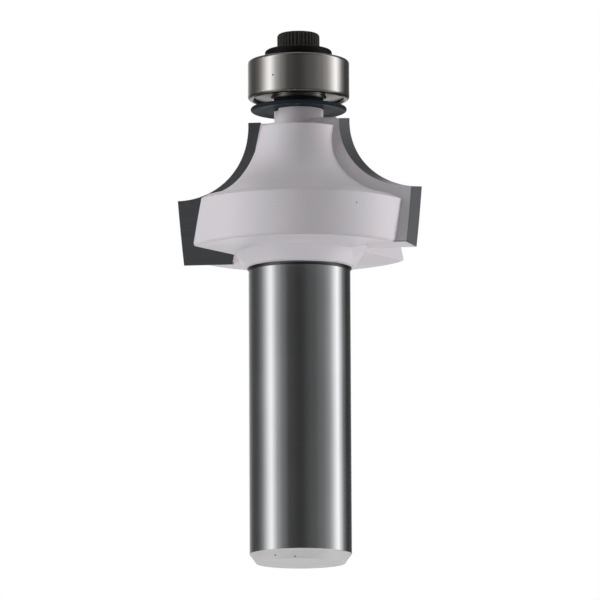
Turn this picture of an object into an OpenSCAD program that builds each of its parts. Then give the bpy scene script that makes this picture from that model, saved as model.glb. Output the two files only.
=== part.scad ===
// Two-flute round-over router bit with a guide bearing on its tip.
// The bit stands on the end of its shank, on the origin, with its axis along +Z.
// Seen from above it cuts anticlockwise, so each cutting face looks along that way.

/* [Shank] */
// Diameter of the shank that the collet grips
shank_d = 12.7; // [6:0.1:16]
// Length from the end of the shank to the underside of the head
shank_len = 37; // [25:0.5:60]
// Height of the chamfer at the end of the shank
shank_chamfer_h = 1.15; // [0.3:0.05:2]
// How far that chamfer comes in from the shank's side
shank_chamfer_in = 0.85; // [0.3:0.05:1.5]
// Radius of the fillet between the shank and the head
shank_fillet = 0.5; // [0.2:0.1:1.2]

/* [Cutting edge] */
// Radius of the quarter round that the bit leaves on the work
cut_r = 9.5; // [5:0.1:12.7]
// How far the inner end of the quarter round stands outside the guide bearing's rim
rim_step = 0.15; // [0:0.05:0.5]
// Height of the upright edge below the quarter round
edge_h = 7.9; // [4:0.1:12]
// Angle of the cutting face from the upright
shear_deg = 13.9; // [0:0.1:18]
// Distance from the axis to the cutting face at the foot of the quarter round
rake_offset = 3.0; // [1.5:0.1:4]

/* [Carbide tips] */
// Thickness of a carbide tip
tip_t = 2; // [1.2:0.1:3]
// How far a tip's back lies inside its cutting edge
tip_relief = 1.1; // [0.6:0.05:1.6]
// How far a tip's back lies below its cutting edge, along the slope of the cutting face
tip_back_drop = 0.8; // [0.4:0.05:1.4]
// How far the top of a tip lies below the end of the quarter round
tip_top_drop = 0.2; // [0:0.05:0.6]
// How far a tip's top falls from its edge to its back
tip_top_relief = 0.35; // [0:0.05:0.6]
// How far a tip's foot rises from its edge to its back
tip_foot_relief = 0.35; // [0:0.05:0.6]
// Width of the steel left between a tip and the round floor of its gullet
tip_land = 0.3; // [0.1:0.05:0.8]

/* [Head] */
// How far the head's band lies inside the cutting circle
band_inset = 1.45; // [0.8:0.05:2.5]
// Height of the head's band
band_h = 5.65; // [3:0.05:8]
// Small chamfer at the foot of the band
band_foot_edge = 0.25; // [0.1:0.05:0.6]
// Height of the bevel over the band
bevel_h = 0.7; // [0.3:0.05:1.5]
// How far that bevel comes in from the band
bevel_in = 1.3; // [0.5:0.05:2]
// Height of the steep hub under the head, from the shank's fillet to the flat underside
under_h = 1.8; // [0.8:0.1:3]
// How far that hub spreads beyond the shank's fillet
hub_spread = 1.15; // [0.5:0.05:3]
// How far the tips' feet lie below the flat underside
foot_drop = 0.35; // [0:0.05:0.8]
// How far the shoulder at the top of the head lies inside the bearing's rim
shoulder_inset = 0.65; // [0.2:0.05:1.5]
// How far the shoulder lies below the top of the tips
shoulder_drop = 1.3; // [0.6:0.1:2.5]
// Thickness of the web of steel that joins the neck to the top of each tip
web_t = 1.7; // [1:0.1:1.9]
// How far that web's top lies below the tip's top
web_drop = 0.15; // [0.1:0.05:0.6]
// How much smaller than the quarter round the head's own hollow curve is, in radius
cove_less = 0.5; // [0:0.1:1.5]
// How far that hollow curve reaches below the foot of the quarter round
cove_drop = 1.35; // [0.8:0.05:2]

/* [Gullets] */
// Angle between a gullet's two faces
gullet_deg = 59; // [45:1:75]
// Lean of the gullet's floor along the cutting face
gullet_lean_deg = 13.5; // [4:0.1:16]
// Distance along the face from the axis to the gullet's sharp corner
gullet_x = 3.4; // [2.5:0.1:5]
// Radius of the gullet's floor
gullet_r = 1.9; // [1:0.1:2.5]

/* [Guide bearing] */
// Outside diameter of the bearing
bearing_od = 12.7; // [12:0.1:15]
// Bore of the bearing
bearing_bore = 4.76; // [4.5:0.02:5]
// Width of the bearing
bearing_w = 4.98; // [4.5:0.02:5.6]
// Diameter of a ball
ball_d = 2.38; // [2:0.02:2.5]
// Radius on the outer ring's outside corners
ring_corner = 0.45; // [0.2:0.05:0.6]
// Chamfer at each end of the inner ring's bore
bore_chamfer = 0.15; // [0.1:0.05:0.3]
// Thickness of the shields' sheet
shield_t = 0.2; // [0.15:0.01:0.3]
// Diameter of the wire of the shields' snap rings
snap_wire = 0.26; // [0.2:0.01:0.34]
// Gap between the two ends of a snap ring, in degrees
snap_gap_deg = 14; // [8:1:30]
// Thickness of the cage's strip
cage_t = 0.22; // [0.15:0.01:0.3]

/* [Neck and dust shield] */
// Diameter of the neck between the head and the dust shield
neck_d = 6.2; // [5.6:0.1:7]
// Height of the neck above the head's shoulder
neck_h = 2.55; // [1.8:0.05:4]
// Diameter of the dust shield
dust_d = 12; // [9:0.1:12.5]
// Thickness of the dust shield's disc
dust_t = 0.5; // [0.2:0.05:0.8]
// How far the rim of the dust shield dips below its middle
dust_dip = 0.15; // [0:0.05:0.6]
// Width of the sloping outer part of the dust shield
dust_slope_w = 1.6; // [0.8:0.1:2.5]
// Height of the dust shield's hub, which spaces the bearing from the neck
dust_hub_h = 1.3; // [0.9:0.1:2]

/* [Screw and washer] */
// Diameter of the washer over the bearing
washer_d = 8.4; // [7:0.1:9.5]
// Thickness of that washer with its foot
washer_t = 1.35; // [0.8:0.05:1.8]
// Height of the washer's foot, which rests on the bearing's inner ring alone
washer_foot = 0.2; // [0.1:0.05:0.4]
// Radius on the washer's top corner
washer_corner = 0.4; // [0.1:0.05:0.5]
// Diameter of the screw's head
screw_head_d = 5.3; // [4.6:0.1:6]
// Height of the screw's head
screw_head_h = 2.1; // [1.6:0.1:3.5]
// Radius on the top corner of the screw's head
screw_head_corner = 0.45; // [0.2:0.05:0.6]
// Diameter of the screw's thread
screw_d = 3; // [2.5:0.1:3.2]
// Length of the screw under its head
screw_len = 12; // [9:0.5:16]
// Width across the flats of the screw's socket
hex_af = 2.5; // [2:0.1:3]
// Depth of that socket
hex_depth = 1.4; // [0.8:0.1:1.6]

/* [Clearances] */
// Gap between a ball and each ring
ball_gap = 0.012; // [0.01:0.002:0.03]
// Gap between a ball and its pocket in the cage
pocket_gap = 0.06; // [0.03:0.01:0.1]
// Gap between the cage and the shoulders of the two rings
cage_gap = 0.25; // [0.2:0.01:0.35]
// Gap at a seat that slides together, such as the bearing on its journal
seat_gap = 0.01; // [0.005:0.005:0.03]
// Gap between a piece that turns and the ones that stay
turn_gap = 0.12; // [0.08:0.01:0.2]
// Gap between the washer's hole and the screw
washer_gap = 0.1; // [0.05:0.05:0.3]
// How far the journal stops below the face of the inner ring, so that the washer clamps the ring
clamp_gap = 0.1; // [0.05:0.05:0.3]

/* [Hidden] */
// Number of balls that a bearing of this size holds
ball_count = 7;
// Smoothness of round pieces
round_fn = 128;
// Smoothness of small round pieces
small_fn = 64;
// Smoothness of the snap rings' wire
wire_fn = 24;
// Number of steps along the quarter round of a tip
arc_steps = 48;
// Number of steps along the upright edge of a tip, which bows a little on a sloped face
edge_steps = 8;
// Overshoot of a cut past the face that it opens
cut = 1;
// How far a gullet's round floor bites into its two faces, so that it crosses them cleanly
blend = 0.004;
// Overlap of two areas of one section
lap = 0.05;

shank_r = shank_d / 2;
fillet_x = shank_r + shank_fillet;
hub_r = fillet_x + hub_spread;
bearing_r = bearing_od / 2;
bore_r = bearing_bore / 2;
edge_r = bearing_r + rim_step + cut_r;
band_r = edge_r - band_inset;
shoulder_r = bearing_r - shoulder_inset;

// Heights, from the end of the shank upwards
fillet_z = shank_len - shank_fillet;
band_z0 = shank_len + under_h;
band_z1 = band_z0 + band_h;
foot_z = band_z0 - foot_drop;
corner_z = foot_z + edge_h;
arc_top_z = corner_z + cut_r;
tip_top_z = arc_top_z - tip_top_drop;
shoulder_z = tip_top_z - shoulder_drop;
neck_z = shoulder_z + neck_h;
bearing_z0 = neck_z + dust_hub_h;
bearing_mid_z = bearing_z0 + bearing_w / 2;
bearing_z1 = bearing_z0 + bearing_w;
washer_z1 = bearing_z1 + washer_t;
screw_z1 = washer_z1 + screw_head_h;

// The head's own hollow curve, which ends close to upright at the shoulder
cove_r = cut_r - cove_less;
cove_x = shoulder_r + cove_r;
cove_z = corner_z - cove_drop + cove_r;

// The steel core that stands under the dust shield and inside the bearing
neck_r = neck_d / 2;
journal_r = bore_r - seat_gap;
journal_top_z = bearing_z1 - clamp_gap;
journal_chamfer = 0.2;
thread_r = screw_d / 2;
tap_spare = 1;
tap_z = washer_z1 - screw_len - tap_spare;

// Bearing sections. Each ring's shoulder covers a share of the ball's radius.
pitch_r = (bearing_r + bore_r) / 2;
ball_r = ball_d / 2;
groove_r = 1.06 * ball_r;
outer_shoulder_share = 0.82;
inner_shoulder_share = 0.84;
outer_land_r = pitch_r + outer_shoulder_share * ball_r;
inner_land_r = pitch_r - inner_shoulder_share * ball_r;
recess_step = 0.42;
recess_r = outer_land_r + recess_step;
snap_room = 0.12;
recess_depth = shield_t + snap_wire + snap_room;
snap_groove_depth = 0.1;
snap_groove_r = recess_r + snap_groove_depth;
snap_z0 = bearing_z0 + snap_room;
cage_hole_r = ball_r + pocket_gap;
cage_shell_r = cage_hole_r + cage_t;
cage_in_r = inner_land_r + cage_gap;
cage_out_r = outer_land_r - cage_gap;

// The relief of a tip is a taper towards one far point, inwards and down from its corner
relief_pole = 200;
relief_scale = 1 - tip_relief / relief_pole;

coat = [0.82, 0.80, 0.83];
carbide = [0.24, 0.26, 0.28];
ring_steel = [0.70, 0.70, 0.70];
black_steel = [0.12, 0.13, 0.14];

// Radius of the cutting circle at height z
function cutting_r(z) =
    z <= corner_z ? edge_r : edge_r - sqrt(max(0, cut_r * cut_r - pow(arc_top_z - z, 2)));

// Distance of the cutting face from the axis at height z
function rake_y(z) = -rake_offset + (z - corner_z) * tan(shear_deg);

// A point of the cutting edge at height z, in the plane of the cutting face
function edge_point(z) =
    [sqrt(pow(cutting_r(z), 2) - pow(rake_y(z), 2)), (z - corner_z) / cos(shear_deg)];

// Puts a shape drawn in the cutting face's own plane in its place.
// There x runs outwards, y out of the face and z up along it.
module at_rake() {
    translate([0, -rake_offset, corner_z]) rotate([-shear_deg, 0, 0]) children();
}

// The same thing twice, half a turn apart
module both_wings() {
    for (turn = [0, 180]) rotate([0, 0, turn]) children();
}

// Ring section from radius a to b and height z0 to z1, with two rounded outer corners
module rounded_ring_section(a, b, z0, z1, r) {
    translate([a, z0]) square([b - r - a, z1 - z0]);
    translate([a, z0 + r]) square([b - a, z1 - z0 - 2 * r]);
    for (z = [z0 + r, z1 - r]) translate([b - r, z]) circle(r, $fn = small_fn);
}

// Plain ring from radius a to b and height z0 to z1
module ring(a, b, z0, z1) {
    rotate_extrude($fn = round_fn) translate([a, z0]) square([b - a, z1 - z0]);
}

// Section of the turned blank: shank, hub, band, hollow curve, shoulder, neck and journal.
// The bevel runs on to twice its size, into the hollow curve, which cuts it off.
module blank_section() {
    difference() {
        polygon([
            [0, 0],
            [shank_r - shank_chamfer_in, 0],
            [shank_r, shank_chamfer_h],
            [shank_r, fillet_z],
            [fillet_x, shank_len],
            [hub_r, band_z0],
            [band_r - band_foot_edge, band_z0],
            [band_r, band_z0 + band_foot_edge],
            [band_r, band_z1],
            [band_r - 2 * bevel_in, band_z1 + 2 * bevel_h],
            [band_r - 2 * bevel_in, shoulder_z],
            [neck_r, shoulder_z],
            [neck_r, neck_z],
            [journal_r, neck_z],
            [journal_r, journal_top_z - journal_chamfer],
            [journal_r - journal_chamfer, journal_top_z],
            [0, journal_top_z]
        ]);
        translate([cove_x, cove_z]) circle(cove_r, $fn = round_fn);
        translate([fillet_x, fillet_z]) circle(shank_fillet, $fn = small_fn);
    }
}

// Section of a gullet: a V between the cutting face and the far face, with a round floor
module gullet_section() {
    tangent = gullet_r / tan(gullet_deg / 2);
    reach = 2 * edge_r;
    far = [cos(gullet_deg), sin(gullet_deg)];
    polygon([[tangent, 0], [reach, 0], [reach, reach], reach * far, tangent * far]);
    translate([tangent, gullet_r]) circle(gullet_r + blend, $fn = small_fn);
}

// Puts a shape in the gullet's own frame, with z along its floor and x out along the face
module at_gullet() {
    at_rake() translate([gullet_x, 0, 0]) rotate([0, -gullet_lean_deg, 0]) children();
}

// The web of steel that stands on the shoulder behind the cutting face, inside a tip's top
module web() {
    reach = 2 * edge_r;
    intersection() {
        at_rake() translate([0, -web_t, -reach]) cube([reach, web_t + cut, 2 * reach]);
        translate([0, 0, shoulder_z - cut])
            cylinder(h = tip_top_z - web_drop - shoulder_z + cut, r = shoulder_r - lap, $fn = round_fn);
    }
}

// One gullet, cut from below the head up to the top of the neck
module gullet() {
    intersection() {
        at_gullet() linear_extrude(6 * edge_r, center = true) gullet_section();
        translate([0, 0, shank_len - cut])
            cylinder(h = neck_z - shank_len + cut, r = 2 * edge_r, $fn = round_fn);
    }
}

// The room for a tip: a slab behind the cutting face, outside the gullet's floor
module tip_slab(front = 0) {
    inner = gullet_r / tan(gullet_deg / 2) + tip_land;
    reach = 2 * edge_r;
    at_gullet() translate([inner, -tip_t, -reach]) cube([reach, tip_t + front, 2 * reach]);
}

// The seat that a tip is brazed into, milled right through the wing
module tip_seat() {
    intersection() {
        tip_slab(cut / 10);
        translate([0, 0, foot_z - 2 * cut])
            cylinder(h = tip_top_z - foot_z + 4 * cut, r = 2 * edge_r, $fn = round_fn);
    }
}

// The bit's body: shank, two-winged head, neck and journal, turned and milled as one piece
module bit_body() {
    color(coat) difference() {
        union() {
            rotate_extrude($fn = round_fn) blank_section();
            both_wings() web();
        }
        both_wings() gullet();
        both_wings() tip_seat();
        translate([0, 0, tap_z])
            cylinder(h = journal_top_z - tap_z + cut, r = thread_r + seat_gap, $fn = small_fn);
    }
}

// Outline of a tip in the plane of the cutting face, past its seats on the hidden sides
module tip_outline() {
    arc = [
        for (i = [0 : arc_steps])
            edge_point(corner_z + cut_r * (1 - sin(90 * i / arc_steps)))
    ];
    upright = [
        for (i = [1 : edge_steps])
            edge_point(corner_z - (edge_h + 2 * cut) * i / edge_steps)
    ];
    polygon(concat(
        [[0, arc[0][1] + 2 * cut]],
        [[arc[0][0], arc[0][1] + 2 * cut]],
        arc,
        upright,
        [[0, upright[edge_steps - 1][1]]]
    ));
}

// One carbide tip, ground with relief behind the whole of its cutting edge
module tip() {
    pole = [edge_point(corner_z)[0] - relief_pole, -relief_pole * tip_back_drop / tip_relief];
    intersection() {
        at_rake() translate([pole[0], 0, pole[1]]) rotate([90, 0, 0])
            linear_extrude(tip_t, scale = relief_scale) translate(-pole) tip_outline();
        tip_slab();
        tip_ends();
    }
}

// Keeps what lies between a tip's foot, which rises towards its back, and its top, which falls
module tip_ends() {
    reach = 2 * edge_r;
    foot_rise = atan(tip_foot_relief / tip_t);
    top_fall = atan(tip_top_relief / tip_t);
    intersection() {
        translate([0, rake_y(foot_z), foot_z]) rotate([-foot_rise, 0, 0])
            translate([0, -reach, 0]) cube([reach, 2 * reach, reach]);
        translate([0, rake_y(tip_top_z), tip_top_z]) rotate([top_fall, 0, 0])
            translate([0, -reach, -reach]) cube([reach, 2 * reach, reach]);
    }
}

module carbide_tip_1() {
    color(carbide) tip();
}

module carbide_tip_2() {
    color(carbide) rotate([0, 0, 180]) tip();
}

// Circle of a ball groove, which just clears the ball on one side
module groove_circle(side) {
    translate([pitch_r + side * (ball_r - groove_r + ball_gap), bearing_mid_z])
        circle(groove_r, $fn = small_fn);
}

// Repeats a section, or its mirror image about the height z where flip is 1
module mirror_at(z, flip) {
    translate([0, z]) mirror([0, flip]) translate([0, -z]) children();
}

// The bearing's outer ring, with its groove and a stepped recess for each shield
module bearing_outer_ring() {
    color(ring_steel) rotate_extrude($fn = round_fn) difference() {
        rounded_ring_section(outer_land_r, bearing_r, bearing_z0, bearing_z1, ring_corner);
        groove_circle(1);
        for (side = [0, 1]) mirror_at(bearing_mid_z, side) shield_recess_section();
    }
}

// Section of the recess that holds the lower shield and its snap ring
module shield_recess_section() {
    translate([outer_land_r - cut, bearing_z0 - cut])
        square([recess_r - outer_land_r + cut, recess_depth + cut]);
    translate([recess_r - cut, snap_z0]) square([snap_groove_r - recess_r + cut, snap_wire]);
}

// The bearing's inner ring
module bearing_inner_ring() {
    color(ring_steel) rotate_extrude($fn = round_fn) difference() {
        polygon([
            [bore_r, bearing_z0 + bore_chamfer],
            [bore_r + bore_chamfer, bearing_z0],
            [inner_land_r, bearing_z0],
            [inner_land_r, bearing_z1],
            [bore_r + bore_chamfer, bearing_z1],
            [bore_r, bearing_z1 - bore_chamfer]
        ]);
        groove_circle(-1);
    }
}

// Puts a shape that is centred on the origin where ball number i lies
module at_ball(i) {
    rotate([0, 0, 360 * (i - 1) / ball_count]) translate([pitch_r, 0, bearing_mid_z]) children();
}

// One ball, by its number
module ball(i) {
    color(ring_steel) at_ball(i) sphere(ball_r, $fn = small_fn);
}

// Half of the cage: a flat strip pressed out into a pocket over each ball.
// It keeps what lies between the heights z0 and z1. Its seam lies midway between two balls.
module cage_half(z0, z1) {
    seam_deg = 180 / ball_count;
    color("goldenrod") intersection() {
        difference() {
            union() {
                rotate([0, 0, seam_deg])
                    ring(cage_in_r, cage_out_r, bearing_mid_z - cage_t, bearing_mid_z + cage_t);
                for (i = [1 : ball_count]) at_ball(i) sphere(cage_shell_r, $fn = small_fn);
            }
            for (i = [1 : ball_count]) at_ball(i) sphere(cage_hole_r, $fn = small_fn);
        }
        rotate([0, 0, seam_deg]) ring(cage_in_r, cage_out_r, z0, z1);
    }
}

module bearing_cage_lower() {
    cage_half(bearing_z0, bearing_mid_z);
}

module bearing_cage_upper() {
    cage_half(bearing_mid_z, bearing_z1);
}

// Section of the lower shield: a flat sheet that clears the inner ring
module shield_section() {
    a = inner_land_r + turn_gap;
    translate([a, bearing_z0 + recess_depth - shield_t])
        square([recess_r - seat_gap - a, shield_t]);
}

module bearing_shield_lower() {
    color(ring_steel) rotate_extrude($fn = round_fn) shield_section();
}

module bearing_shield_upper() {
    color(ring_steel) rotate_extrude($fn = round_fn)
        mirror_at(bearing_mid_z, 1) shield_section();
}

// Snap ring under the lower shield: a wire ring with a gap, sprung into its groove
module snap_ring() {
    wire_r = snap_wire / 2;
    rotate([0, 0, snap_gap_deg / 2])
        rotate_extrude(angle = 360 - snap_gap_deg, $fn = round_fn)
            translate([snap_groove_r - seat_gap - wire_r, snap_z0 + wire_r])
                circle(wire_r, $fn = wire_fn);
}

module shield_snap_ring_lower() {
    color(ring_steel) snap_ring();
}

module shield_snap_ring_upper() {
    color(ring_steel) translate([0, 0, bearing_mid_z]) rotate([180, 0, 0])
        translate([0, 0, -bearing_mid_z]) snap_ring();
}

// Dust shield: a disc with a dipping round rim, and a hub that carries the bearing's inner ring
module dust_shield() {
    hole_r = journal_r + seat_gap;
    rim_r = dust_t / 2;
    rim_x = dust_d / 2 - rim_r;
    bend_x = dust_d / 2 - dust_slope_w;
    rim_z = neck_z - dust_dip;
    color(black_steel) rotate_extrude($fn = round_fn) {
        translate([hole_r, neck_z]) square([neck_r - hole_r, dust_hub_h]);
        polygon([
            [neck_r - lap, neck_z],
            [bend_x, neck_z],
            [rim_x, rim_z],
            [rim_x, rim_z + dust_t],
            [bend_x, neck_z + dust_t],
            [neck_r - lap, neck_z + dust_t]
        ]);
        translate([rim_x, rim_z + rim_r]) circle(rim_r, $fn = small_fn);
    }
}

// Washer over the bearing: its foot rests on the inner ring alone
module bearing_washer() {
    r = washer_corner;
    hole_r = thread_r + washer_gap;
    color(black_steel) rotate_extrude($fn = round_fn) {
        translate([hole_r, bearing_z1])
            square([inner_land_r - hole_r, washer_foot + lap]);
        translate([hole_r, bearing_z1 + washer_foot])
            square([washer_d / 2 - hole_r, washer_t - washer_foot - r]);
        translate([hole_r, washer_z1 - r - lap])
            square([washer_d / 2 - r - hole_r, r + lap]);
        translate([washer_d / 2 - r, washer_z1 - r]) circle(r, $fn = small_fn);
    }
}

// Cap screw with a hexagon socket, which clamps washer, bearing and dust shield to the body
module bearing_screw() {
    r = screw_head_corner;
    socket_r = hex_af / 2 / cos(30);
    color(black_steel) difference() {
        union() {
            rotate_extrude($fn = round_fn) {
                translate([0, washer_z1]) square([screw_head_d / 2, screw_head_h - r]);
                translate([0, screw_z1 - r - lap]) square([screw_head_d / 2 - r, r + lap]);
                translate([screw_head_d / 2 - r, screw_z1 - r]) circle(r, $fn = small_fn);
            }
            translate([0, 0, washer_z1 - screw_len])
                cylinder(h = screw_len, r = thread_r, $fn = small_fn);
        }
        translate([0, 0, screw_z1 - hex_depth]) cylinder(h = hex_depth + cut, r = socket_r, $fn = 6);
    }
}

bit_body();
carbide_tip_1();
carbide_tip_2();
bearing_outer_ring();
bearing_inner_ring();
bearing_cage_lower();
bearing_cage_upper();
ball(1);  // bearing_ball_1
ball(2);  // bearing_ball_2
ball(3);  // bearing_ball_3
ball(4);  // bearing_ball_4
ball(5);  // bearing_ball_5
ball(6);  // bearing_ball_6
ball(7);  // bearing_ball_7
bearing_shield_lower();
bearing_shield_upper();
shield_snap_ring_lower();
shield_snap_ring_upper();
dust_shield();
bearing_washer();
bearing_screw();
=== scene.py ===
"""Looks, camera and light of a two-flute round-over router bit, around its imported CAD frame.

Everything is in metres in the frame's own axes: the bit stands on the end of its shank at the
origin, with its axis along +Z.
"""

import logging
import math
from dataclasses import dataclass, field
from enum import Enum

import bpy
from mathutils import Matrix, Vector


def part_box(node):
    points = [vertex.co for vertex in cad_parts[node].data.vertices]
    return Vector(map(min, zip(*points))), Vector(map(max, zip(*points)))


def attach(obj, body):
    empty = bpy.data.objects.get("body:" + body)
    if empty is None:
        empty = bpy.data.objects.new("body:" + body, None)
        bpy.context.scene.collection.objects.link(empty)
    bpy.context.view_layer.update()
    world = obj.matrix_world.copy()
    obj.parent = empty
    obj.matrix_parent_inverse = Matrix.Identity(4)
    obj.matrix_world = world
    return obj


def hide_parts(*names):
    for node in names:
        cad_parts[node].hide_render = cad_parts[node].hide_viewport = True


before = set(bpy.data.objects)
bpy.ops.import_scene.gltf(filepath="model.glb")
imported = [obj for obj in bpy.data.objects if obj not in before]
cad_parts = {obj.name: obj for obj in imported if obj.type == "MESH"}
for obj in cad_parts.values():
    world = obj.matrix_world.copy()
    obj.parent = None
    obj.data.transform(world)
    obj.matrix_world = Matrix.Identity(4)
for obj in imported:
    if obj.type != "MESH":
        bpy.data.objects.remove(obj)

LOG = logging.getLogger("router_bit")
MM = 0.001
PIT_EDGE_SCALE = (3000.0, 3000.0, 3000.0)
PIT_EDGE_REACH = 1.5

Colour = tuple[float, float, float]
Ring = list[tuple[float, float, float]]


class Wing(Enum):
    """One of the bit's two wings, by the side of the Y axis that its cutting face looks to."""

    FIRST = 1.0
    SECOND = -1.0


class Graph:
    """A short hand for building one material's or world's node tree."""

    def __init__(self, tree: bpy.types.NodeTree) -> None:
        """Takes over a node tree and empties it.

        Args:
            tree: The node tree to fill.
        """
        self.tree = tree
        self.tree.nodes.clear()

    def node(self, kind: str, **settings: object) -> bpy.types.Node:
        """Adds a node.

        Args:
            kind: Its type, such as ShaderNodeTexNoise.
            settings: Properties of the node, or sockets by name with spaces as underscores.

        Returns:
            The new node.
        """
        made = self.tree.nodes.new(kind)
        for name, value in settings.items():
            socket = made.inputs.get(name.replace("_", " "))
            if socket is not None and not hasattr(made, name):
                self.feed(socket, value)
            else:
                setattr(made, name, value)
        return made

    def feed(self, socket: bpy.types.NodeSocket, value: object) -> None:
        """Gives a socket a value, or links another socket to it.

        Args:
            socket: The input socket.
            value: A number, a colour or an output socket.
        """
        if isinstance(value, bpy.types.NodeSocket):
            self.tree.links.new(value, socket)
        else:
            socket.default_value = value

    def spot(self) -> bpy.types.NodeSocket:
        """The place on the object, in metres."""
        return self.node("ShaderNodeTexCoord").outputs["Object"]

    def place(self, scale: Colour) -> bpy.types.NodeSocket:
        """Position on the object, stretched by a scale on each axis.

        Args:
            scale: Features per metre along X, Y and Z.

        Returns:
            The vector output.
        """
        mapping = self.node("ShaderNodeMapping", Vector=self.spot())
        mapping.inputs["Scale"].default_value = scale
        return mapping.outputs["Vector"]

    def noise(self, scale: Colour, detail: float = 2.0) -> bpy.types.NodeSocket:
        """Noise between 0 and 1 whose grain has its own size on each axis.

        Args:
            scale: Features per metre along X, Y and Z.
            detail: Number of finer layers.

        Returns:
            The noise value.
        """
        made = self.node("ShaderNodeTexNoise", Vector=self.place(scale), Scale=1.0, Detail=detail)
        return made.outputs["Fac"]

    def ramp(self, value: bpy.types.NodeSocket, low: float, high: float,
             out_low: float = 0.0, out_high: float = 1.0) -> bpy.types.NodeSocket:
        """Maps a range of a value to another range, and holds it at the ends.

        Args:
            value: The value to map.
            low: The value that becomes out_low.
            high: The value that becomes out_high.
            out_low: The lower result.
            out_high: The higher result.

        Returns:
            The mapped value.
        """
        made = self.node("ShaderNodeMapRange", clamp=True, Value=value)
        for name, number in (("From Min", low), ("From Max", high),
                             ("To Min", out_low), ("To Max", out_high)):
            made.inputs[name].default_value = number
        return made.outputs["Result"]

    def math(self, operation: str, first: object, second: object = 0.0) -> bpy.types.NodeSocket:
        """One sum on two values.

        Args:
            operation: The math node's operation, such as MULTIPLY.
            first: A number or an output socket.
            second: A number or an output socket.

        Returns:
            The result.
        """
        made = self.node("ShaderNodeMath", operation=operation)
        self.feed(made.inputs[0], first)
        self.feed(made.inputs[1], second)
        return made.outputs[0]

    def blend(self, share: object, first: object, second: object) -> bpy.types.NodeSocket:
        """Mixes two colours.

        Args:
            share: How much of the second colour there is, a number or a socket.
            first: A colour or a socket.
            second: A colour or a socket.

        Returns:
            The mixed colour.
        """
        made = self.node("ShaderNodeMix", data_type="RGBA")
        self.feed(made.inputs["Factor"], share)
        self.feed(made.inputs[6], first)
        self.feed(made.inputs[7], second)
        return made.outputs[2]

    def over(self, share: bpy.types.NodeSocket, under: bpy.types.NodeSocket,
             top: bpy.types.NodeSocket) -> bpy.types.NodeSocket:
        """Lays one shader over another.

        Args:
            share: How much of the top one there is.
            under: The shader below.
            top: The shader above.

        Returns:
            The mixed shader.
        """
        made = self.node("ShaderNodeMixShader")
        self.feed(made.inputs[0], share)
        self.feed(made.inputs[1], under)
        self.feed(made.inputs[2], top)
        return made.outputs[0]

    def bump(self, height: bpy.types.NodeSocket, depth: float,
             normal: bpy.types.NodeSocket | None = None) -> bpy.types.NodeSocket:
        """Bump from a height.

        Args:
            height: The height, from 0 to 1.
            depth: How deep a height of 1 is, in metres.
            normal: The normal that is bent, or None for the surface's own.

        Returns:
            The bent normal.
        """
        made = self.node("ShaderNodeBump", Height=height, Distance=depth, Strength=1.0)
        if normal is not None:
            self.feed(made.inputs["Normal"], normal)
        return made.outputs["Normal"]

    def height(self) -> bpy.types.NodeSocket:
        """Height on the object, in metres."""
        return self.node("ShaderNodeSeparateXYZ", Vector=self.spot()).outputs["Z"]

    def facing(self, way: Vector) -> bpy.types.NodeSocket:
        """How squarely the surface looks one way in the object's own axes, from -1 to 1.

        Args:
            way: The direction, of length 1.

        Returns:
            The value.
        """
        normal = self.node("ShaderNodeTexCoord").outputs["Normal"]
        made = self.node("ShaderNodeVectorMath", operation="DOT_PRODUCT")
        self.feed(made.inputs[0], normal)
        self.feed(made.inputs[1], way)
        return made.outputs["Value"]

    def outwards(self) -> bpy.types.NodeSocket:
        """The level direction away from the axis."""
        split = self.node("ShaderNodeSeparateXYZ", Vector=self.spot())
        flat = self.node("ShaderNodeCombineXYZ", X=split.outputs["X"], Y=split.outputs["Y"])
        made = self.node("ShaderNodeVectorMath", operation="NORMALIZE")
        self.feed(made.inputs[0], flat.outputs[0])
        return made.outputs["Vector"]

    def spots(self, places: tuple[Colour, ...], radius: float) -> bpy.types.NodeSocket:
        """Small round marks at given places on the object, 1 inside a mark and 0 elsewhere.

        Args:
            places: The middle of each mark, in metres.
            radius: Radius of the marks.

        Returns:
            The mask.
        """
        ragged = self.math("MULTIPLY", self.noise(PIT_EDGE_SCALE), radius)
        total: object = 0.0
        for place in places:
            gap = self.node("ShaderNodeVectorMath", operation="DISTANCE")
            self.feed(gap.inputs[0], self.spot())
            self.feed(gap.inputs[1], place)
            rough = self.math("ADD", gap.outputs["Value"], ragged)
            mark = self.ramp(rough, PIT_EDGE_REACH * radius, radius)
            total = self.math("MAXIMUM", total, mark)
        return total


def new_graph(name: str) -> tuple[bpy.types.Material, Graph]:
    """Makes an empty material with nodes.

    Args:
        name: The material's name.

    Returns:
        The material and its graph.
    """
    material = bpy.data.materials.new(name)
    material.use_nodes = True
    return material, Graph(material.node_tree)


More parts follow.
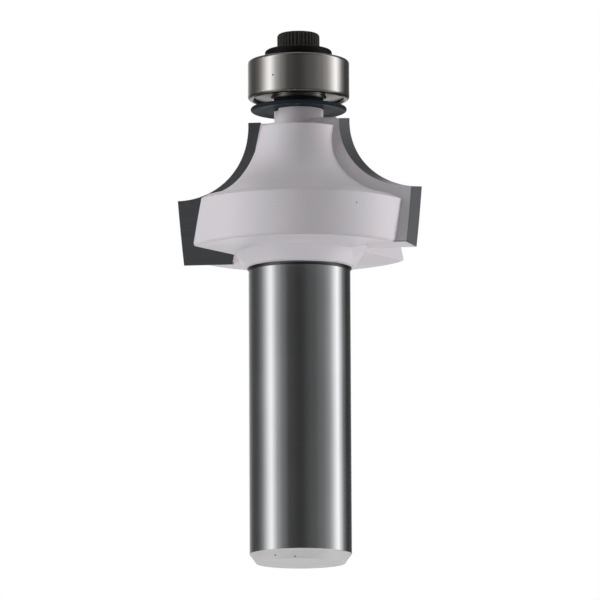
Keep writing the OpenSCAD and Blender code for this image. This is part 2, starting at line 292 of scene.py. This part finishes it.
@dataclass(frozen=True)
class GroundSteel:
    """Bare steel with fine grinding marks round the axis and a few faint smudges."""

    name: str
    colour: Colour
    roughness: float
    mark_depth: float = 0.0003 * MM
    marks_per_metre: float = 9000.0
    smudge: float = 0.05
    marks: tuple[Colour, ...] = ()
    mark_radius: float = 0.14 * MM
    metallic: float = 1.0
    along_marks: float = 60.0
    cloud_scale: Colour = (160.0, 160.0, 90.0)
    dark_share: float = 0.9
    pit: Colour = (0.08, 0.075, 0.07)

    def shader(self, graph: Graph) -> bpy.types.NodeSocket:
        """Adds this steel to a graph.

        Args:
            graph: The graph to add it to.

        Returns:
            The shader.
        """
        lines = graph.noise((self.along_marks, self.along_marks, self.marks_per_metre), 3.0)
        cloud = graph.noise(self.cloud_scale, 4.0)
        dark = tuple(self.dark_share * part for part in self.colour)
        tint = graph.ramp(cloud, 0.3, 0.7)
        colour = graph.blend(tint, (*dark, 1.0), (*self.colour, 1.0))
        if self.marks:
            colour = graph.blend(graph.spots(self.marks, self.mark_radius), colour,
                                 (*self.pit, 1.0))
        rough = graph.ramp(cloud, 0.35, 0.75, self.roughness, self.roughness + self.smudge)
        made = graph.node("ShaderNodeBsdfPrincipled", Metallic=self.metallic, Base_Color=colour,
                          Roughness=rough)
        graph.feed(made.inputs["Normal"], graph.bump(lines, self.mark_depth))
        return made.outputs[0]

    def material(self) -> bpy.types.Material:
        """The steel as a material of its own."""
        material, graph = new_graph(self.name)
        graph.node("ShaderNodeOutputMaterial", Surface=self.shader(graph))
        return material


@dataclass(frozen=True)
class HeadCoat:
    """Pale, slightly lilac baked coat with a fine skin and soft sheen."""

    colour: Colour = (0.60, 0.575, 0.61)
    blush: Colour = (0.63, 0.56, 0.595)
    speck: Colour = (0.10, 0.10, 0.12)
    roughness: float = 0.42
    skin_depth: float = 0.004 * MM
    edge_radius: float = 0.16 * MM
    marks: tuple[Colour, ...] = ((0.00860, -0.01174, 0.04304),)
    mark_radius: float = 0.12 * MM
    foot_edge: tuple[float, float] = (38.9 * MM, 39.0 * MM)
    foot_reach: float = 14.25 * MM
    cloud_scale: Colour = (220.0, 220.0, 220.0)
    skin_scale: Colour = (5200.0, 5200.0, 5200.0)
    gloss: float = 0.15
    gloss_roughness: float = 0.3

    def normal(self, graph: Graph) -> bpy.types.NodeSocket:
        """The surface's normal with soft edges, and the band's foot turned over into its side.

        Args:
            graph: The graph to add it to.

        Returns:
            The normal.
        """
        soft = graph.node("ShaderNodeBevel", samples=6, Radius=self.edge_radius)
        low, high = self.foot_edge
        flat = graph.node("ShaderNodeVectorMath", operation="MULTIPLY")
        graph.feed(flat.inputs[0], graph.spot())
        graph.feed(flat.inputs[1], (1.0, 1.0, 0.0))
        reach = graph.node("ShaderNodeVectorMath", operation="LENGTH")
        graph.feed(reach.inputs[0], flat.outputs["Vector"])
        inside = graph.math("MULTIPLY", graph.math("GREATER_THAN", graph.height(), low),
                            graph.math("LESS_THAN", graph.height(), high))
        share = graph.math("MULTIPLY", inside,
                           graph.math("GREATER_THAN", reach.outputs["Value"], self.foot_reach))
        made = graph.node("ShaderNodeMix", data_type="VECTOR")
        graph.feed(made.inputs["Factor"], share)
        graph.feed(made.inputs[4], soft.outputs[0])
        graph.feed(made.inputs[5], graph.outwards())
        return made.outputs[1]

    def shader(self, graph: Graph) -> bpy.types.NodeSocket:
        """Adds the coat to a graph.

        Args:
            graph: The graph to add it to.

        Returns:
            The shader.
        """
        cloud = graph.noise(self.cloud_scale, 3.0)
        colour = graph.blend(graph.ramp(cloud, 0.5, 0.72), (*self.colour, 1.0), (*self.blush, 1.0))
        if self.marks:
            colour = graph.blend(graph.spots(self.marks, self.mark_radius), colour,
                                 (*self.speck, 1.0))
        skin = graph.noise(self.skin_scale, 3.0)
        normal = graph.bump(skin, self.skin_depth, self.normal(graph))
        made = graph.node("ShaderNodeBsdfPrincipled", Base_Color=colour, Roughness=self.roughness)
        made.inputs["Coat Weight"].default_value = self.gloss
        made.inputs["Coat Roughness"].default_value = self.gloss_roughness
        graph.feed(made.inputs["Normal"], normal)
        return made.outputs[0]


@dataclass(frozen=True)
class DarkMetal:
    """A dark finished metal: ground carbide, blued sheet or oxide black."""

    name: str
    colour: Colour
    metallic: float
    roughness: float
    grain_scale: Colour = (900.0, 900.0, 4000.0)
    grain_depth: float = 0.001 * MM
    edge_radius: float = 0.06 * MM
    specular: float = 0.5
    dark_share: float = 0.8

    def shader(self, graph: Graph) -> bpy.types.NodeSocket:
        """Adds this finish to a graph.

        Args:
            graph: The graph to add it to.

        Returns:
            The shader.
        """
        grain = graph.noise(self.grain_scale, 3.0)
        low = tuple(self.dark_share * part for part in self.colour)
        colour = graph.blend(grain, (*low, 1.0), (*self.colour, 1.0))
        soft = graph.node("ShaderNodeBevel", samples=4, Radius=self.edge_radius)
        rough = graph.ramp(grain, 0.2, 0.8, self.roughness * 0.9, self.roughness * 1.15)
        made = graph.node("ShaderNodeBsdfPrincipled", Metallic=self.metallic, Base_Color=colour,
                          Roughness=rough)
        made.inputs["Specular IOR Level"].default_value = self.specular
        graph.feed(made.inputs["Normal"], graph.bump(grain, self.grain_depth, soft.outputs[0]))
        return made.outputs[0]

    def material(self) -> bpy.types.Material:
        """The finish as a material of its own."""
        material, graph = new_graph(self.name)
        graph.node("ShaderNodeOutputMaterial", Surface=self.shader(graph))
        return material


SHANK_STEEL = GroundSteel("ground_steel", (0.60, 0.61, 0.62), 0.14)
RING_STEEL = GroundSteel("bearing_steel", (0.64, 0.62, 0.60), 0.15, mark_depth=0.0002 * MM,
                         marks=((-0.00248, -0.00584, 0.06041),))
# Painted shade: a darker steel for the outer ring's rounded corners, standing for the dark
# reflection they catch.
CORNER_SHADE_STEEL = GroundSteel("painted_corner_shade", (0.19, 0.175, 0.16), 0.26)
# Painted shade: a darker copy of the steel for the cage, shields and snap rings, which sit in
# shadow between the rings and the dust shield.
SHADED_INNER_STEEL = GroundSteel("inner_steel_painted_shade", (0.25, 0.24, 0.22), 0.28)
DULL_END = GroundSteel("dull_end_steel", (0.61, 0.6, 0.605), 0.45, metallic=0.2,
                       marks=((-0.0025, -0.00527, 0.00045), (-0.00001, -0.00565, 0.0002)))
# Painted shade: a near-black steel for a narrow band of bare shank just under the coat, standing
# for the shadow where the head meets the shank.
JUNCTION_SHADE_STEEL = GroundSteel("painted_junction_shade", (0.10, 0.10, 0.10), 0.3)
CARBIDE = DarkMetal("carbide", (0.115, 0.12, 0.128), 0.55, 0.35)
BLUED = DarkMetal("blued_steel", (0.018, 0.027, 0.032), 0.0, 0.36, specular=0.01)
BLACK = DarkMetal("black_oxide", (0.024, 0.022, 0.020), 0.5, 0.42)
BLACK_WASHER = DarkMetal("black_oxide_washer", (0.006, 0.006, 0.007), 0.0, 0.45, specular=0.1)


def dress(node: str, material: bpy.types.Material) -> None:
    """Gives a CAD node one material.

    Args:
        node: The node's name.
        material: Its material.
    """
    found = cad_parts[node]
    found.data.materials.clear()
    found.data.materials.append(material)
    LOG.info("%s: %s", node, material.name)


@dataclass
class Cutter:
    """The bit's body and its two carbide tips."""

    coat_foot: float = 36.9 * MM
    shade_band_foot: float = 36.48 * MM
    dull_top: float = 1.15 * MM
    coat_top: float = 56.9 * MM
    coat_edge: float = 0.03 * MM
    face_slope_deg: float = 13.9
    wave_scale: Colour = (500.0, 500.0, 500.0)
    wave_height: float = 0.06 * MM
    coat: HeadCoat = field(default_factory=HeadCoat)

    def dress(self) -> None:
        """Gives the body its bare steel and its coat, and each tip its carbide."""
        material, graph = new_graph("coated_steel")
        wavy = graph.math("MULTIPLY", graph.noise(self.wave_scale), self.wave_height)
        level = graph.math("ADD", graph.height(), wavy)
        above = graph.ramp(level, self.coat_foot, self.coat_foot + self.coat_edge)
        below = graph.ramp(level, self.coat_top + self.coat_edge, self.coat_top)
        steel = graph.over(graph.ramp(level, self.dull_top, self.dull_top + self.coat_edge),
                           DULL_END.shader(graph), SHANK_STEEL.shader(graph))
        # Painted shade: just below the coat the bare steel is swapped for the near-black steel,
        # standing for the shadow in the corner under the head.
        shade_band = graph.math("MULTIPLY", graph.ramp(level, self.shade_band_foot,
                                                    self.shade_band_foot + self.coat_edge), below)
        steel = graph.over(shade_band, steel, JUNCTION_SHADE_STEEL.shader(graph))
        coated = graph.over(graph.math("MULTIPLY", above, below), steel, self.coat.shader(graph))
        graph.node("ShaderNodeOutputMaterial", Surface=coated)
        dress("bit_body", material)
        dress("carbide_tip_1", self.tip(Wing.FIRST))
        dress("carbide_tip_2", self.tip(Wing.SECOND))

    def tip(self, wing: Wing) -> bpy.types.Material:
        """Ground carbide whose back and foot keep the head's coat, put on after brazing.

        Args:
            wing: The wing that the tip is on.

        Returns:
            The tip's material.
        """
        slope = math.radians(self.face_slope_deg)
        back = Vector((0, -wing.value * math.cos(slope), math.sin(slope)))
        material, graph = new_graph(f"carbide_{wing.name.lower()}")
        share = graph.math("MAXIMUM", graph.ramp(graph.facing(back), 0.97, 0.99),
                           graph.ramp(graph.facing(Vector((0, 0, -1))), 0.9, 0.95))
        graph.node("ShaderNodeOutputMaterial",
                   Surface=graph.over(share, CARBIDE.shader(graph), self.coat.shader(graph)))
        return material


@dataclass
class BrazeFillets:
    """The braze between each tip's inner end and the head, flush with the tip's back.

    Places are given in the cutting face's own plane, as in the part's source: x outwards, y out
    of the face and z up along it.
    """

    face_offset: float = 3.0 * MM
    face_height: float = 46.35 * MM
    face_slope_deg: float = 13.9
    end_foot_x: float = 7.16 * MM
    end_slope: float = -0.24
    foot: float = 0.5 * MM
    top: float = 8.72 * MM
    width: float = 1.6 * MM
    back: float = -2.003 * MM
    front: float = -1.2 * MM

    def dress(self) -> None:
        """Builds one fillet for each wing, under the head's coat."""
        coat = HeadCoat(marks=())
        material, graph = new_graph("coated_braze")
        graph.node("ShaderNodeOutputMaterial", Surface=coat.shader(graph))
        place = (Matrix.Translation((0, -self.face_offset, self.face_height))
                 @ Matrix.Rotation(math.radians(-self.face_slope_deg), 4, "X"))
        for wing in Wing:
            turn = Matrix.Rotation(0.0 if wing is Wing.FIRST else math.pi, 4, "Z")
            name = f"braze_fillet_{wing.name.lower()}"
            mesh = bpy.data.meshes.new(name)
            mesh.from_pydata([turn @ place @ corner for corner in self.block()], [],
                             [(3, 2, 1, 0), (4, 5, 6, 7), (0, 1, 5, 4), (1, 2, 6, 5),
                              (2, 3, 7, 6), (3, 0, 4, 7)])
            mesh.materials.append(material)
            fillet = bpy.data.objects.new(name, mesh)
            bpy.context.scene.collection.objects.link(fillet)
            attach(fillet, "bit")
            LOG.info("%s: built", name)

    def block(self) -> list[Vector]:
        """The fillet's eight corners, the four at its back first."""
        made = []
        for depth in (self.back, self.front):
            for height, inner in ((self.foot, 0.0), (self.top, 0.0), (self.top, self.width),
                                  (self.foot, self.width)):
                made.append(Vector((self.end_foot_x + self.end_slope * height - inner, depth,
                                    height)))
        return made


@dataclass
class GuideBearing:
    """The ball bearing, its shields and its dust shield."""

    balls: int = 7
    corner: float = 0.42 * MM

    def dress(self) -> None:
        """Gives each piece of the bearing its steel."""
        ring = RING_STEEL.material()
        # The cage, shields and snap rings get the darker steel, which is painted shade.
        inner = SHADED_INNER_STEEL.material()
        dress("bearing_outer_ring", self.rim())
        dress("bearing_inner_ring", ring)
        for side in ("lower", "upper"):
            for name in (f"bearing_cage_{side}", f"bearing_shield_{side}",
                         f"shield_snap_ring_{side}"):
                dress(name, inner)
        for number in range(1, self.balls + 1):
            dress(f"bearing_ball_{number}", ring)
        dress("dust_shield", BLUED.material())

    def rim(self) -> bpy.types.Material:
        """The outer ring's ground steel, with painted shade on its rounded corners: a darker steel
        standing for the dark surroundings they reflect.
        """
        low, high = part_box("bearing_outer_ring")
        material, graph = new_graph("rim_steel")
        height = graph.height()
        foot = graph.ramp(height, low[2] + self.corner, low[2] + self.corner / 2)
        top = graph.ramp(height, high[2] - self.corner, high[2] - self.corner / 2)
        graph.node("ShaderNodeOutputMaterial",
                   Surface=graph.over(graph.math("MAXIMUM", foot, top),
                                      RING_STEEL.shader(graph), CORNER_SHADE_STEEL.shader(graph)))
        return material


@dataclass
class ClampScrew:
    """The black cap screw with its knurled head, and the washer under it."""

    head_radius: float = 2.65 * MM
    head_height: float = 2.1 * MM
    corner: float = 0.45 * MM
    thread_radius: float = 1.5 * MM
    ribs: int = 36
    steps_a_rib: int = 8
    rib_depth: float = 0.11 * MM
    socket_flats: float = 2.5 * MM
    socket_depth: float = 1.4 * MM
    edge: float = 0.1 * MM
    arc_steps: int = 8

    def dress(self) -> None:
        """Builds the knurled screw in the plain one's place, and blackens it and the washer."""
        black = BLACK.material()
        dress("bearing_screw", black)
        dress("bearing_washer", BLACK_WASHER.material())
        low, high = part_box("bearing_screw")
        mesh = bpy.data.meshes.new("knurled_screw")
        skin(mesh, self.rings(low[2], high[2]))
        mesh.materials.append(black)
        screw = bpy.data.objects.new("knurled_screw", mesh)
        bpy.context.scene.collection.objects.link(screw)
        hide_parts("bearing_screw")
        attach(screw, "bit")
        LOG.info("knurled_screw: %d faces", len(mesh.polygons))

    def rings(self, foot: float, top: float) -> list[Ring]:
        """The screw's sections, from the end of its thread over the head into the socket.

        Args:
            foot: Height of the end of the thread.
            top: Height of the top of the head.

        Returns:
            Rings of points, all with the same number of points.
        """
        under = top - self.head_height
        core = self.head_radius - self.corner
        edge = self.edge
        made = [self.round_ring(self.thread_radius - 3 * edge, foot),
                self.round_ring(self.thread_radius, foot + 3 * edge),
                self.round_ring(self.thread_radius, under),
                self.round_ring(self.head_radius - 2 * edge, under),
                self.round_ring(self.head_radius, under + edge, 1.0)]
        for step in range(self.arc_steps + 1):
            turn = math.radians(90 * step / self.arc_steps)
            made.append(self.round_ring(core + self.corner * math.cos(turn),
                                        top - self.corner * (1 - math.sin(turn)),
                                        math.cos(turn)))
        made += [self.hexagon(self.socket_flats / 2 + edge, top),
                 self.hexagon(self.socket_flats / 2, top - edge),
                 self.hexagon(self.socket_flats / 2, top - self.socket_depth),
                 self.round_ring(2 * edge, top - self.socket_depth - 3 * edge)]
        return made

    def round_ring(self, radius: float, height: float, knurl: float = 0.0) -> Ring:
        """One round section, with the knurl's ribs where it has them.

        Args:
            radius: Radius at the ribs' crests.
            height: Height of the section.
            knurl: Share of the ribs' full depth.

        Returns:
            The section's points.
        """
        count = self.ribs * self.steps_a_rib
        points = []
        for step in range(count):
            turn = 2 * math.pi * step / count
            dip = 0.5 - 0.5 * math.cos(self.ribs * turn)
            reach = radius - knurl * self.rib_depth * dip
            points.append((reach * math.cos(turn), reach * math.sin(turn), height))
        return points

    def hexagon(self, apothem: float, height: float) -> Ring:
        """One hexagonal section.

        Args:
            apothem: Distance from the axis to each flat.
            height: Height of the section.

        Returns:
            The section's points.
        """
        count = self.ribs * self.steps_a_rib
        points = []
        for step in range(count):
            turn = 2 * math.pi * step / count
            off = (turn % (math.pi / 3)) - math.pi / 6
            reach = apothem / math.cos(off)
            points.append((reach * math.cos(turn), reach * math.sin(turn), height))
        return points


def skin(mesh: bpy.types.Mesh, rings: list[Ring]) -> None:
    """Joins rings of points into one closed skin with smooth faces and sharp corners.

    Args:
        mesh: The mesh to fill.
        rings: Rings with the same number of points each, in order.
    """
    count = len(rings[0])
    faces = [tuple(reversed(range(count)))]
    for level in range(len(rings) - 1):
        first = level * count
        for step in range(count):
            after = (step + 1) % count
            faces.append((first + step, first + after, first + count + after,
                          first + count + step))
    last = (len(rings) - 1) * count
    faces.append(tuple(range(last, last + count)))
    mesh.from_pydata([point for ring in rings for point in ring], [], faces)
    mesh.polygons.foreach_set("use_smooth", [True] * len(mesh.polygons))
    mesh.set_sharp_from_angle(angle=math.radians(35))
    mesh.update()


@dataclass(frozen=True)
class SoftBox:
    """One lamp beside or below the bit, with its size as width and height."""

    name: str
    angle_deg: float
    radius: float
    height: float
    size: tuple[float, float]
    power: float


@dataclass
class Studio:
    """White surround, a tall curved screen that the steel reflects, lamps and the camera."""

    azimuth_deg: float = 7.2
    distance: float = 0.83
    camera_height: float = -0.0982
    aim_height: float = 0.03295
    roll_deg: float = -0.27
    frame_width: float = 0.0746
    aim_right: float = 0.00005
    sensor: float = 36.0
    surround: float = 0.3
    floor_white: float = 0.45
    floor_hole: float = 5.4 * MM
    floor_reach: float = 1.5
    floor_steps: int = 64
    boxes: tuple[SoftBox, ...] = (
        SoftBox("left_box", -74, 0.6, 0.05, (0.12, 0.9), 3.3),
        SoftBox("right_box", 92, 0.6, 0.05, (0.12, 0.9), 4.0),
        SoftBox("low_box", 0, 0.15, -0.6, (0.4, 0.4), 0.85))
    lamp_aim: float = 0.035
    screen_step_deg: int = 2
    screen_radius: float = 0.75
    screen_low: float = -0.85
    screen_high: float = 3.0
    ceiling: float = 0.35
    glow: tuple[tuple[float, float], ...] = (
        (-168, 0.8), (-152, 0.28), (-131, 0.10), (-117, 0.09), (-105, 0.15), (-95, 0.30),
        (-85, 0.70), (-76, 1.25), (-68, 1.6), (-61, 1.05), (-52, 0.50), (-38, 0.24), (-24, 0.085),
        (0, 0.055), (30, 0.125), (52, 0.22), (67, 0.38), (76, 0.66), (84, 1.15), (94, 1.7),
        (104, 0.90), (115, 0.22), (130, 0.05), (150, 0.07), (160, 0.15), (170, 0.5))

    def build(self) -> None:
        """Makes world, floor, screen, lamps and camera."""
        bpy.context.scene.view_settings.view_transform = "Standard"
        self.world()
        self.floor()
        self.screen()
        for box in self.boxes:
            self.lamp(box)
        self.camera()
        LOG.info("studio: world, floor, screen, lamps, camera")

    def around(self, angle_deg: float, radius: float, height: float) -> Vector:
        """A place round the bit.

        Args:
            angle_deg: Angle from the camera's side, positive to the right in the picture.
            radius: Distance from the axis.
            height: Height above the floor.

        Returns:
            The point.
        """
        turn = math.radians(self.azimuth_deg + angle_deg)
        return Vector((radius * math.sin(turn), -radius * math.cos(turn), height))

    def world(self) -> None:
        """White to the camera and to gloss, a plain grey light otherwise."""
        world = bpy.data.worlds.new("surround")
        bpy.context.scene.world = world
        world.use_nodes = True
        graph = Graph(world.node_tree)
        path = graph.node("ShaderNodeLightPath")
        gloss = graph.math("MAXIMUM", path.outputs["Is Glossy Ray"],
                           path.outputs["Is Transmission Ray"])
        seen = graph.math("MAXIMUM", path.outputs["Is Camera Ray"], gloss)
        white = graph.node("ShaderNodeBackground", Color=(1, 1, 1, 1), Strength=1.0)
        plain = graph.node("ShaderNodeBackground", Color=(1, 1, 1, 1), Strength=self.surround)
        graph.node("ShaderNodeOutputWorld",
                   Surface=graph.over(seen, plain.outputs[0], white.outputs[0]))

    def floor(self) -> None:
        """A pale floor that is seen from above only, with an opening under the shank's end."""
        count = self.floor_steps
        points = []
        for radius in (self.floor_hole, self.floor_reach):
            for step in range(count):
                turn = 2 * math.pi * step / count
                points.append((radius * math.cos(turn), radius * math.sin(turn), 0.0))
        faces = [(step, count + step, count + (step + 1) % count, (step + 1) % count)
                 for step in range(count)]
        mesh = bpy.data.meshes.new("floor")
        mesh.from_pydata(points, [], faces)
        floor = bpy.data.objects.new("floor", mesh)
        bpy.context.scene.collection.objects.link(floor)
        material, graph = new_graph("floor_paper")
        grain = graph.noise((300.0, 300.0, 300.0), 3.0)
        tone = graph.blend(grain, (0.86, 0.86, 0.86, 1), (0.9, 0.9, 0.9, 1))
        paper = graph.node("ShaderNodeBsdfDiffuse", Color=tone)
        white = graph.node("ShaderNodeEmission", Color=(1, 1, 1, 1), Strength=1.0)
        path = graph.node("ShaderNodeLightPath")
        pale = graph.over(graph.math("MULTIPLY", path.outputs["Is Camera Ray"], self.floor_white),
                          paper.outputs[0], white.outputs[0])
        clear = graph.node("ShaderNodeBsdfTransparent")
        side = graph.node("ShaderNodeNewGeometry")
        graph.node("ShaderNodeOutputMaterial",
                   Surface=graph.over(side.outputs["Backfacing"], pale, clear.outputs[0]))
        mesh.materials.append(material)
        floor.visible_shadow = False
        floor.visible_glossy = False

    def lamp(self, box: SoftBox) -> None:
        """Adds one soft box that faces the bit and that the steel doesn't reflect.

        Args:
            box: The lamp's place, size and power.
        """
        data = bpy.data.lights.new(box.name, "AREA")
        data.shape = "RECTANGLE"
        data.size, data.size_y = box.size
        data.energy = box.power
        lamp = bpy.data.objects.new(box.name, data)
        place = self.around(box.angle_deg, box.radius, box.height)
        lamp.location = place
        lamp.rotation_mode = "QUATERNION"
        lamp.rotation_quaternion = (Vector((0, 0, self.lamp_aim)) - place).to_track_quat("-Z", "Y")
        lamp.visible_camera = False
        lamp.visible_glossy = False
        bpy.context.scene.collection.objects.link(lamp)

    def screen(self) -> None:
        """A curved screen round and over the bit, dark in front with two soft bright bands.

        Only reflections show it, so it stands for the soft boxes and the dark room that a
        polished cylinder mirrors. The bands fade out on both sides.
        """
        points, shine = [], []
        first, last = self.glow[0][0], self.glow[-1][0]
        steps = round((last - first) / self.screen_step_deg)
        for step in range(steps + 1):
            angle = first + (last - first) * step / steps
            for height in (self.screen_low, self.screen_high):
                points.append(self.around(angle, self.screen_radius, height))
                shine.append(self.brightness(angle))
        points.append((0, 0, self.screen_high))
        shine.append(self.ceiling)
        faces = [(2 * i, 2 * i + 2, 2 * i + 3, 2 * i + 1) for i in range(steps)]
        faces += [(2 * i + 1, 2 * i + 3, len(points) - 1) for i in range(steps)]
        mesh = bpy.data.meshes.new("screen")
        mesh.from_pydata(points, [], faces)
        mesh.attributes.new("shine", "FLOAT", "POINT").data.foreach_set("value", shine)
        screen = bpy.data.objects.new("screen", mesh)
        bpy.context.scene.collection.objects.link(screen)
        material, graph = new_graph("screen")
        level = graph.node("ShaderNodeAttribute", attribute_name="shine")
        light = graph.node("ShaderNodeEmission", Color=(1, 1, 1, 1),
                           Strength=level.outputs["Fac"])
        graph.node("ShaderNodeOutputMaterial", Surface=light.outputs[0])
        mesh.materials.append(material)
        screen.visible_camera = False
        screen.visible_diffuse = False
        screen.visible_shadow = False

    def brightness(self, angle_deg: float) -> float:
        """Brightness of the screen at an angle, between the values that are set.

        Args:
            angle_deg: Angle from the camera's side.

        Returns:
            The brightness.
        """
        for (first, low), (last, high) in zip(self.glow, self.glow[1:]):
            if angle_deg <= last:
                share = max(0.0, (angle_deg - first) / (last - first))
                soft = share * share * (3 - 2 * share)
                return low + (high - low) * soft
        return self.glow[-1][1]

    def camera(self) -> None:
        """The camera, at the photograph's viewing angle."""
        data = bpy.data.cameras.new("camera")
        data.sensor_width = self.sensor
        camera = bpy.data.objects.new("camera", data)
        bpy.context.scene.collection.objects.link(camera)
        bpy.context.scene.camera = camera
        eye = self.around(0, self.distance, self.camera_height)
        turn = math.radians(self.azimuth_deg)
        right = Vector((math.cos(turn), math.sin(turn), 0))
        aim = Vector((0, 0, self.aim_height)) + right * self.aim_right
        data.lens = self.sensor * (aim - eye).length / self.frame_width
        data.clip_start = 0.01
        data.clip_end = 20
        look = (aim - eye).to_track_quat("-Z", "Y").to_matrix().to_4x4()
        roll = Matrix.Rotation(math.radians(self.roll_deg), 4, "Z")
        camera.matrix_world = Matrix.Translation(eye) @ look @ roll


def main() -> None:
    """Builds every sub-assembly in order, then the studio."""
    logging.basicConfig(level=logging.INFO, format="%(message)s")
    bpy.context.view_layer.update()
    for part in (Cutter(), BrazeFillets(), GuideBearing(), ClampScrew()):
        part.dress()
    Studio().build()


if __name__ == "__main__":
    main()
